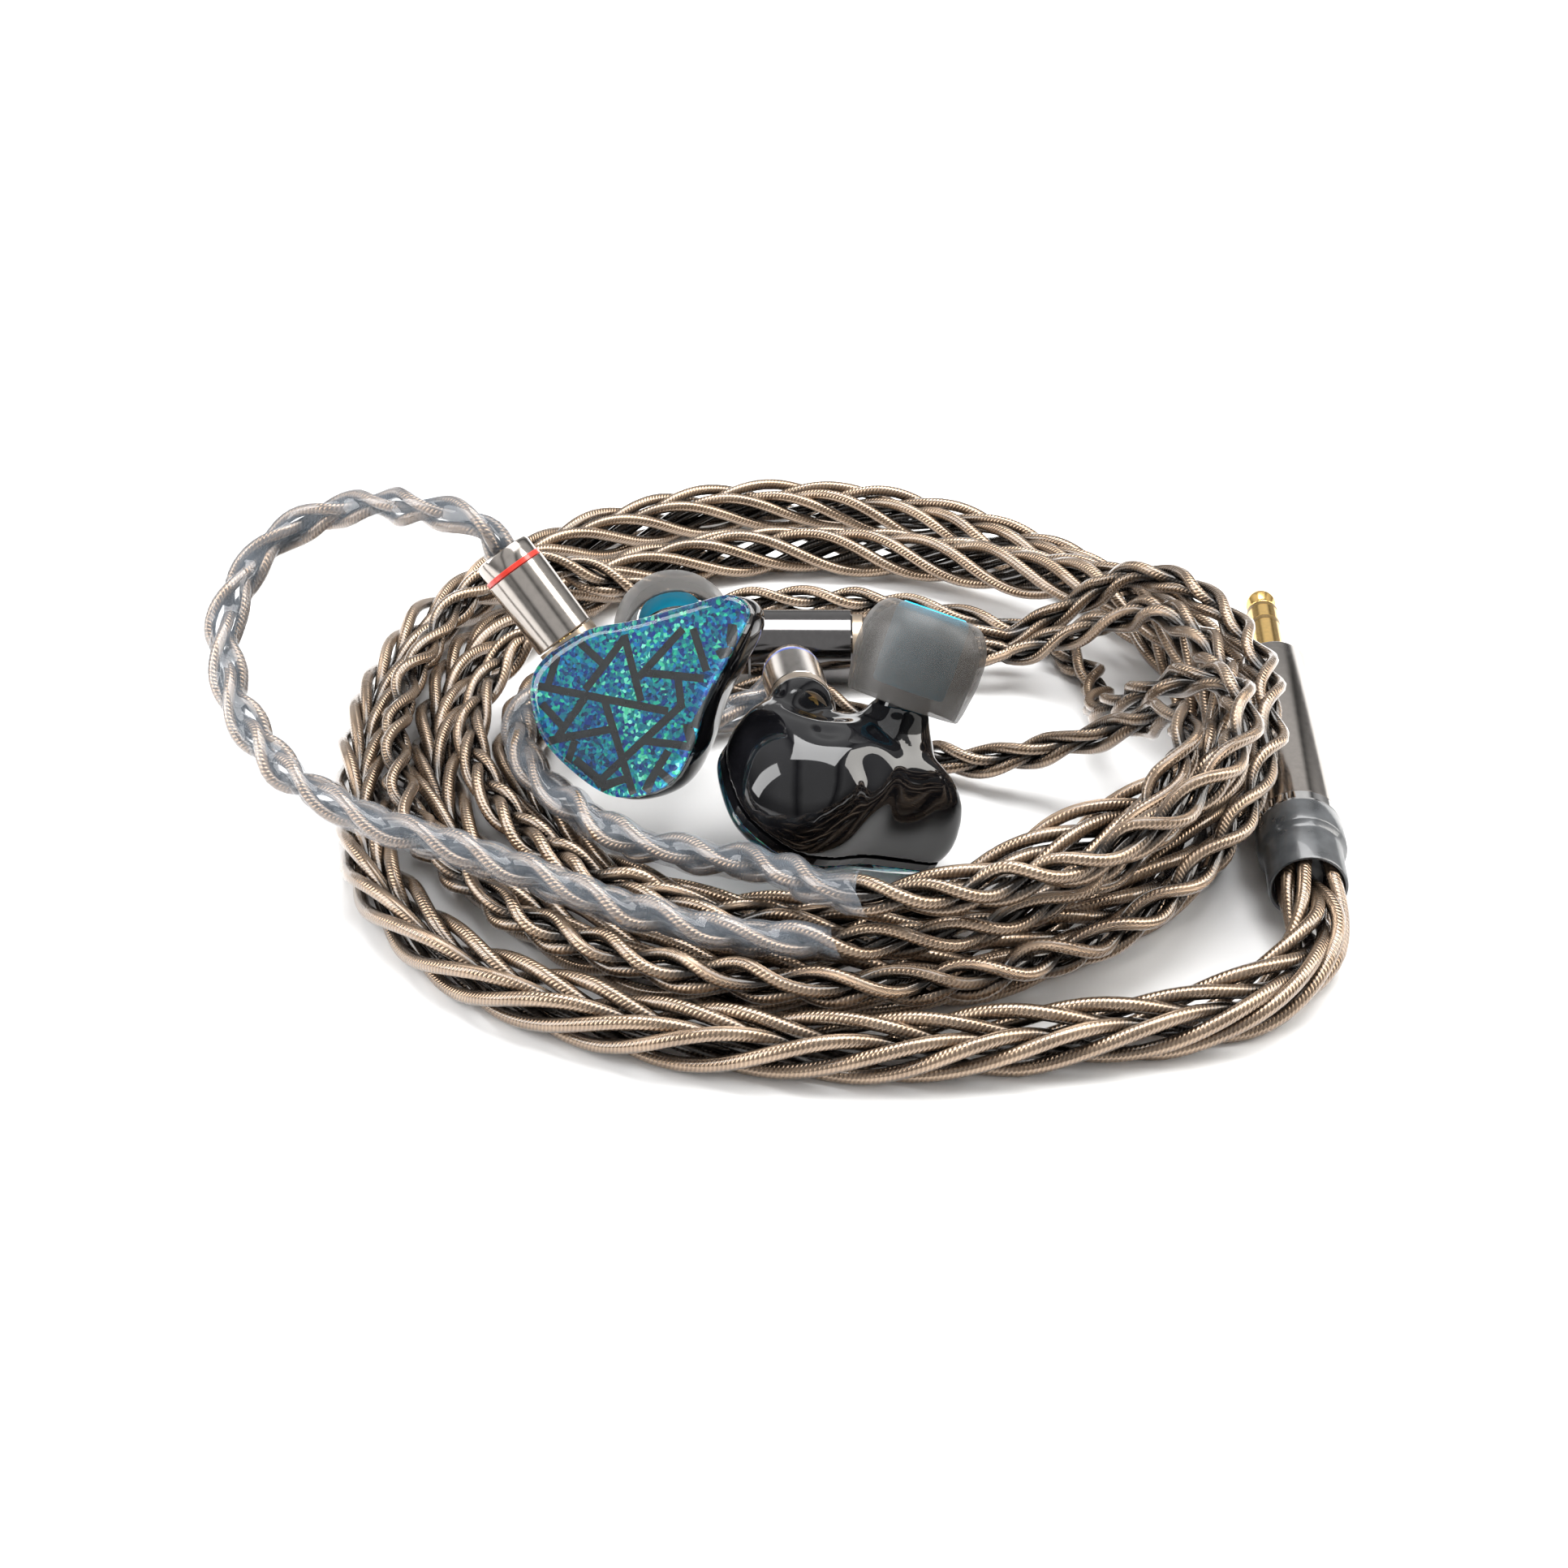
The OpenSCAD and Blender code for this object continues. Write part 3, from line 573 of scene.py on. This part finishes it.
def main_cable():
    """The eight-core cable, from the plug's boot to the splitter."""
    route = [np.array(PLUG_EXIT) + MOUTH_L * plug_axis] + MAIN_ROUTE
    line, at = laid(route, MAIN_D / 2, MAIN_STEP)
    strands = braid(line, at, level_frame, **MAIN_BRAID)
    obj = tubes("main_cable_strands", strands, line, MAIN_BRAID["radius"], BRONZE)
    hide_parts("main_cable")
    return obj, line, at[-1]


def side_cable(side):
    """One four-core cable, from the connector's cap through the ear hook to the splitter."""
    cap = turned(side, unit(SOCKET_DIR))[0]
    end = socket_point(side, CAP_END)
    hook = HOOK_ROUTE[side] + [end + 3 * cap, end, end - CAP_L * cap]
    route = [*THIN_ROUTE[side][:-1], *hook][::-1]
    line, at = laid(route, THIN_D / 2, SIDE_STEP, ease=20)
    line[at > at[-1] - SLIDER_RUN, 1:] = THIN_ROUTE[side][0][1:]
    strands = braid(line, at, carried_frame, **SIDE_BRAID)
    obj = tubes(f"side_cable_strands_{side}", strands, line, SIDE_BRAID["radius"], BRONZE)
    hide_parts(f"thin_cable_{side}", f"ear_hook_{side}")
    hook_l = laid(hook[::-1], HOOK_D / 2, SIDE_STEP)[1][-1]
    return obj, line, at, strands, hook_l


def ear_sleeve(side, line, at, strands, hook_l):
    """Clear shrunk sleeve that follows the strands inside it."""
    count = int(np.searchsorted(at, hook_l))
    u, v = carried_frame(line)
    sides = 24
    a = 2 * np.pi * np.arange(sides) / sides
    ways = np.cos(a)[None, :, None] * u[:count, None] + np.sin(a)[None, :, None] * v[:count, None]
    reach = np.max([np.einsum("nk,nsk->ns", s[:count] - line[:count], ways) for s in strands], axis=0)
    cling, wall, least = 0.93, 0.22, 1.2
    radius = np.clip(cling * (reach + SIDE_BRAID["radius"]) + wall, least, HOOK_D / 2)
    ragged = 1 + 0.12 * np.sin(3 * a) * (np.arange(count) > count - 3)[:, None]
    rings = line[:count, None] + (radius * ragged)[:, :, None] * ways
    rings[-1] += np.cos(a)[:, None] * headings(line)[count - 1]
    faces = grid_faces(count, sides)
    obj = piece(f"ear_sleeve_{side}", metres(rings.reshape(-1, 3)), faces, SLEEVE)
    return obj


main, main_line, main_l = main_cable()
side_cables = {}
for side in SIDES:
    obj, line, at, strands, hook_l = side_cable(side)
    side_cables[side] = (obj, line, at[-1], ear_sleeve(side, line, at, strands, hook_l))

# ---- Earpieces ----

smooth_outline = curve([(x, y, 0) for x, y in OUTLINE], 8, closed=True)[:, :2]
# The shell's sections: height, scale of the outline, and shift of it in x and y
SECTIONS = [
    (0, 1, 0, 0), (-2, 1.02, 0, 0), (-4.3, 0.98, 0, 0.1), (-6.6, 0.87, 0.3, 0.5),
    (-8.4, 0.7, 0.7, 1), (-9.7, 0.48, 1, 1.6), (-10.4, 0.22, 1.2, 2)]
# The nozzle's flared root and the boss round the socket: distance and radius
NOZZLE_FLARE = [(-1, 5.2), (2, 4.9), (3.6, 4.2), (5, 3.4), (6, 2.9), (6.6, 2.7)]
SOCKET_BOSS = [(-6, 3.0), (-3, 3.5), (-1.2, 3.5), (-0.55, 3.2)]
ROOT_SIDES = 40
# Dents pressed into the back of the shell: place, depth and width
DENTS = [((-5.5, 2.5), 2.6, 2.4), ((-2.4, -1.8), 0.7, 1.1), ((3.4, -2.2), 0.8, 1.2)]


def evaluated(obj):
    """Applies an object's modifiers to its mesh."""
    mesh = bpy.data.meshes.new_from_object(obj.evaluated_get(bpy.context.evaluated_depsgraph_get()))
    obj.modifiers.clear()
    obj.data = mesh
    for face in mesh.polygons:
        face.use_smooth = True


def dented(side, obj):
    """Presses the dents into a shell's back, along the faceplate's normal."""
    count = len(obj.data.vertices)
    co = np.zeros(count * 3)
    obj.data.vertices.foreach_get("co", co)
    turn = np.array(Euler([math.radians(a) for a in EAR_TURN[side]]).to_matrix())
    local = (co.reshape(-1, 3) / MM - SHIFT - np.array(EAR_POS[side])) @ turn
    if side == "left":
        local[:, 0] *= -1
    back = np.clip((-local[:, 2] - 3.5) / 2.5, 0, 1)
    for (x, y), depth, width in DENTS:
        away = ((local[:, 0] - x) ** 2 + (local[:, 1] - y) ** 2) / (2 * width ** 2)
        local[:, 2] += back * depth * np.exp(-away)
    obj.data.vertices.foreach_set("co", metres(on_ear(side, local)).ravel())


def shell(side):
    """Cast resin body: the outline's stack, a flared nozzle root and a socket boss, blended."""
    stack = curve([(z, s, dx) for z, s, dx, dy in SECTIONS], 4)
    lift = curve([(z, s, dy) for z, s, dx, dy in SECTIONS], 4)[:, 2]
    rows = [np.column_stack([smooth_outline * s + (dx, dy), np.full(len(smooth_outline), z)])
            for (z, s, dx), dy in zip(stack, lift)]
    verts = np.vstack(rows)
    faces = capped_faces(len(rows), len(smooth_outline))
    for base, way, profile in ((NOZZLE_BASE, NOZZLE_DIR, NOZZLE_FLARE),
                               (SOCKET_BASE, SOCKET_DIR, SOCKET_BOSS)):
        faces += capped_faces(len(profile), ROOT_SIDES, len(verts))
        verts = np.vstack([verts, *turned_rings(base, way, [0.1, 1, 0.2], profile, ROOT_SIDES)])
    obj = piece(f"shell_body_{side}", metres(on_ear(side, verts)), faces, RESIN)
    remesh = obj.modifiers.new("blend", "REMESH")
    remesh.mode = "VOXEL"
    remesh.voxel_size = 0.32 * MM
    smooth = obj.modifiers.new("soften", "SMOOTH")
    smooth.iterations = 14
    evaluated(obj)
    dented(side, obj)
    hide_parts(f"shell_{side}")


def clear_dome(side):
    """Low clear dome with a rounded rim over the opal."""
    z0, rise = 1.0, 1.2
    rim = [(1 - 0.16 * (1 - math.cos(a)), z0 + rise * (0.25 + 0.75 * math.sin(a)))
           for a in np.linspace(0, math.pi / 2 * 0.94, 8)]
    top = rim[-1]
    crown = [(top[0] * k, top[1] + 0.06 * (1 - k * k)) for k in (0.85, 0.65, 0.4, 0.15)]
    rows = [np.column_stack([smooth_outline * s, np.full(len(smooth_outline), z)])
            for s, z in [(1, z0 - 0.21)] + rim + crown]
    faces = capped_faces(len(rows), len(smooth_outline))
    obj = piece(f"dome_clear_{side}", metres(on_ear(side, np.vstack(rows))), faces, CLEAR)
    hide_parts(f"clear_dome_{side}")


# Dark strips between the opal shards, end to end, on the faceplate
SHARD_W = 0.75
SHARD_LINES = [
    ((-10, 2.2), (3.2, -0.5)), ((-5.7, 6.2), (-3.2, 4)), ((-3.2, 4), (-5.2, 1.7)),
    ((-3.2, 4), (-1.2, 6.5)), ((-1.2, 6.8), (0.5, 0.5)), ((0.2, 2.7), (4.7, 7.2)),
    ((0.7, 3.2), (6.7, 2.5)), ((5.7, 7.2), (7, 3.2)), ((9.5, 7.5), (9.2, 5.5)),
    ((-5, 1.2), (-8, -2.7)), ((-9.6, 0.5), (-7.2, -2)), ((-8.8, -3), (-2.2, -2)),
    ((-3.2, 0.7), (-0.4, -8)), ((-6.2, -3), (-6.9, -5)), ((-6.2, -4.8), (-3.5, -7)),
    ((-4, -7.2), (4.7, 0.2)), ((0.7, -3.2), (5.4, -3.8)), ((3.2, -4.2), (0.8, -7.8)),
    ((2.2, -6), (3.4, -7)), ((4.2, 2.5), (4.5, 0)), ((-3.6, -7.4), (-0.5, -6.6)),
    ((5, -1.7), (5.3, -4)), ((-8, 5), (-9, 2.2)), ((7.6, 2), (5.5, -2)), ((8, 4.7), (9.2, 5.2))]


def shard_strips(side):
    verts, faces = [], []
    for k, (a, b) in enumerate(SHARD_LINES):
        a, b = np.array(a, float), np.array(b, float)
        across = np.array([a[1] - b[1], b[0] - a[0]]) / np.linalg.norm(b - a) * SHARD_W / 2
        level = 1.003 + 0.0006 * k
        verts += [(*q, z) for z in (0.99, level)
                  for q in (a - across, b - across, b + across, a + across)]
        i = 8 * k
        faces += [(i + 4, i + 5, i + 6, i + 7), (i, i + 3, i + 2, i + 1)]
        faces += [(i + j, i + (j + 1) % 4, i + 4 + (j + 1) % 4, i + 4 + j) for j in range(4)]
    obj = piece(f"shard_strips_{side}", metres(on_ear(side, verts)), faces, SHARD, smooth=False)


def on_axis(side, base, way):
    return on_ear(side, base)[0], turned(side, unit(way))[0]


def ear_tip(side):
    """Soft core and the thin flared dome moulded onto it."""
    base, way = on_axis(side, NOZZLE_BASE, NOZZLE_DIR)
    body = f"eartip_{side}"
    core = [(CORE_START, 2.65), (CORE_START, 3.4), (8.3, 3.55), (10.5, 3.7), (15.1, 3.62),
            (15.7, 3.4), (TIP_END, 3.0), (TIP_END, 2.3), (15.8, 2.1), (CORE_STEP, 2.1),
            (CORE_STEP, 2.65)]
    obj = lathe(f"tip_core_{side}", base, way, core, TEAL, body, closed=True)
    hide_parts(f"eartip_core_{side}")
    neck_r = 3.76
    outside = [(12 + 3.9 * math.sin(a), neck_r + (TIP_R - neck_r) * math.cos(a))
               for a in np.linspace(math.pi / 2, 0, 14)]
    inside = [(z - (TIP_WALL if k < 9 else TIP_WALL * (13 - k) / 8), r - (TIP_WALL * min(k / 4, 1)))
              for k, (z, r) in enumerate(outside)][::-1]
    skirt = [(10.5, TIP_R), (8.9, TIP_R - 0.2), (7.5, TIP_R - 0.42), (6.6, TIP_R - 0.66),
             (TIP_START, TIP_R - 0.8), (6.6, TIP_R - 1.0), (7.6, TIP_R - 0.85), (9, TIP_R - 0.75),
             (10.5, TIP_R - TIP_WALL)]
    obj = lathe(f"tip_dome_{side}", base, way, outside + skirt + inside, SILICONE, body, closed=True)
    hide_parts(f"eartip_dome_{side}")


def connector(side):
    """Two-pin connector housing with its coloured side ring and end cap."""
    base, way = on_axis(side, SOCKET_BASE, SOCKET_DIR)
    body = f"connector_{side}"
    barrel_end = CONNECTOR_START + BARREL_L
    ring_end = barrel_end + RING_W
    ring_mat, ring_slot = (RED, "red_ring") if side == "right" else (BLUE, "blue_ring")
    barrel = turned_part(CONNECTOR_START, barrel_end, 3.1, 0.12, 2.4)
    ring = turned_part(barrel_end, ring_end, 3.08, 0.05, 2.4)
    cap = [(ring_end, 2.15), (ring_end, 2.95), (ring_end + 1.3, 2.95), (ring_end + 1.65, 2.8),
           (CAP_END, 2.5), (CAP_END, 2.15)]
    made = []
    for name, profile, mat, slot in (("connector_barrel", barrel, GUNMETAL, "gunmetal"),
                                     ("side_ring", ring, ring_mat, ring_slot),
                                     ("connector_cap", cap, GUNMETAL, "gunmetal")):
        obj = lathe(f"{name}_turned_{side}", base, way, profile, mat, body, closed=True)
        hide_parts(f"{name}_{side}")
        made.append(obj)
    return made


connectors = {}
for side in SIDES:
    shell(side)
    clear_dome(side)
    shard_strips(side)
    ear_tip(side)
    connectors[side] = connector(side)

# ---- Splitter and chin slider ----


def along_splitter(name, node, profile, mat, body=ROOT):
    obj = lathe(name, SPLITTER_POS, (1, 0, 0), profile, mat, body, closed=True)
    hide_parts(node)
    return obj


splitter_parts = [
    along_splitter("splitter_housing", "splitter_body",
                   [(0, 0.2), (0, 3.2), (0.1, 3.85), (0.35, 4.1), (SPLITTER_END - 0.2, 4.1),
                    (SPLITTER_END, 3.9), (SPLITTER_END, 0.2)],
                   DARK_CHROME),
    along_splitter("splitter_neck", "splitter_collar",
                   [(SPLITTER_END, 0.2), (SPLITTER_END, 3.6), (COLLAR_END - 0.1, 3.6),
                    (COLLAR_END, 3.5), (COLLAR_END, 0.2)],
                   CHAMPAGNE),
    along_splitter("slider_ring", "chin_slider",
                   turned_part(SLIDER_START, SLIDER_END, 3.9, 0.15, 3.55),
                   DARK_CHROME, "slider")]

# ---- Plug ----


def on_plug(name, node, profile, mat):
    obj = lathe(name, PLUG_EXIT, plug_axis, profile, mat, closed=True)
    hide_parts(node)
    return obj


plug_parts = [
    on_plug("boot_moulding", "plug_boot",
            [(MOUTH_L, 0.1), (MOUTH_L, 3.2), (0.2, 3.3), (0, 3.4), (0, 3.6), (0.2, 3.7), (4.9, 3.7),
             (5.3, 3.8), (5.6, 4.1), (5.8, 4.2), (BOOT_END - 0.2, 4.2), (BOOT_END, 4.1),
             (BOOT_END, 0.1)], BOOT),
    on_plug("plug_collar", "plug_flange",
            [(BOOT_END, 0.1), (BOOT_END, 3.8), (BOOT_END + 0.25, 4.1), (FLANGE_END - 0.2, 4.1),
             (FLANGE_END, 3.95), (FLANGE_END, 0.1)], CHROME),
    on_plug("plug_housing", "plug_barrel",
            [(FLANGE_END, 3.2), (FLANGE_END, 3.85), (FLANGE_END + 0.15, 4.0), (39.2, 4.0),
             (39.35, 3.95), (41.4, 2.45), (HOUSING_END, 2.3), (HOUSING_END, 0.75), (40.5, 0.75)],
            GUNMETAL),
    on_plug("shaft_collar", "plug_bush",
            [(HOUSING_END, 0.7), (HOUSING_END, 2.05), (HOUSING_END + 0.1, 2.1), (SHAFT - 0.1, 2.1),
             (SHAFT, 2.0), (SHAFT, 0.7)], GOLD),
    on_plug("shaft_sleeve", "plug_sleeve", turned_part(SHAFT, SHAFT + 6, 1.75, 0.06, 0.7), GOLD),
    on_plug("shaft_ring", "plug_ring",
            turned_part(SHAFT + 6.7, SHAFT + 9.2, 1.75, 0.06, 0.7), GOLD),
    on_plug("shaft_tip", "plug_tip",
            [(SHAFT + z, r) for z, r in (
                (-4, 0.05), (-4, 0.68), (9.9, 0.68), (9.9, 1.7), (9.98, 1.75), (10.5, 1.5), (10.9, 1.25),
                (11.3, 1.3), (11.9, 1.65), (12.3, 1.62), (12.8, 1.5), (13.4, 1.15), (13.8, 0.75),
                (14, 0.4), (14, 0.05))], GOLD)]

# ---- CAD nodes that stay as they are ----

NODE_MATERIALS = {
    "faceplate": RESIN, "opal_inlay": OPAL, "nozzle": RESIN, "nozzle_filter": STEEL, "vent": STEEL,
    "socket": CHAMPAGNE, "socket_contacts": GOLD, "dynamic_driver": STEEL, "armature_drivers": STEEL,
    "crossover_board": BOARD, "sound_tubes": SOFT_TUBE, "wiring": COPPER, "connector_pins": GOLD,
    "connector_insulator": BLACK}


def finish_node(node, mat):
    obj = bpy.data.objects[node]
    obj.data.materials.clear()
    obj.data.materials.append(mat)


for side in SIDES:
    for node, mat in NODE_MATERIALS.items():
        finish_node(f"{node}_{side}", mat)
finish_node("slider_pads", BLACK)
finish_node("plug_insulators", DARK_BAND)

# ---- Parts on each side cable, gathered in a list that is not used further ----

for side in SIDES:
    obj, line, length, sleeve = side_cables[side]
    on_it = [sleeve, *connectors[side], f"connector_pins_{side}", f"connector_insulator_{side}"]
    if side == "left":
        on_it += [splitter_parts[2], "slider_pads"]

# ---- Floor and light ----


def stage_floor():
    mesh = bpy.data.meshes.new("floor")
    half = 1.5
    mesh.from_pydata([(-half, -half, 0), (half, -half, 0), (half, half, 0), (-half, half, 0)],
                     [], [(0, 1, 2, 3)])
    floor = bpy.data.objects.new("floor", mesh)
    bpy.context.scene.collection.objects.link(floor)
    mesh.materials.append(material("floor_paper", (0.9, 0.9, 0.9), 0.7, vary=0.01, scale=50, bump=0))


def area_light(name, place, size, power, colour=(1, 1, 1)):
    light = bpy.data.lights.new(name, "AREA")
    light.shape = "RECTANGLE"
    light.size, light.size_y = size
    light.energy = power
    light.color = colour
    obj = bpy.data.objects.new(name, light)
    obj.location = place
    obj.rotation_euler = Vector((-place[0], -place[1], 0.01 - place[2])).to_track_quat("-Z", "Y").to_euler()
    bpy.context.scene.collection.objects.link(obj)


stage_floor()
world = bpy.data.worlds.new("studio")
bpy.context.scene.world = world
world.use_nodes = True

# Bright overhead and dimmer towards the horizon, with two dark flags, for edges in the metal
sky, wires = world.node_tree.nodes, world.node_tree.links
sky["Background"].inputs["Strength"].default_value = 0.8
toward = sky.new("ShaderNodeTexCoord")
parts = sky.new("ShaderNodeSeparateXYZ")
wires.new(toward.outputs["Generated"], parts.inputs["Vector"])


def sky_ramp(output, low, stops):
    scale = sky.new("ShaderNodeMapRange")
    scale.inputs["From Min"].default_value = low
    wires.new(output, scale.inputs["Value"])
    ramp = sky.new("ShaderNodeValToRGB")
    while len(ramp.color_ramp.elements) < len(stops):
        ramp.color_ramp.elements.new(0.5)
    for element, (position, level) in zip(ramp.color_ramp.elements, stops):
        element.position = position
        element.color = (level, level, level, 1)
    wires.new(scale.outputs["Result"], ramp.inputs["Fac"])
    return ramp.outputs["Color"]


height = sky_ramp(parts.outputs["Z"], 0, [(0, 0.35), (0.15, 0.45), (0.4, 1), (1, 1)])
flags = sky_ramp(parts.outputs["X"], -1, [
    (0, 0.5), (0.2, 1), (0.3, 1), (0.36, 0.1), (0.42, 1), (0.66, 1), (0.71, 0.08), (0.8, 0.9), (1, 0.5)])
both = sky.new("ShaderNodeVectorMath")
both.operation = "MULTIPLY"
wires.new(height, both.inputs[0])
wires.new(flags, both.inputs[1])
wires.new(both.outputs["Vector"], sky["Background"].inputs["Color"])
area_light("top_softbox", (0.05, 0.12, 0.55), (0.5, 0.35), 5.0)
area_light("left_strip", (-0.5, -0.05, 0.3), (0.25, 0.5), 3.2)
area_light("right_strip", (0.5, 0.05, 0.3), (0.2, 0.5), 2.4, (1.0, 0.97, 0.92))
bpy.context.scene.view_settings.view_transform = "Standard"

bpy.context.view_layer.update()
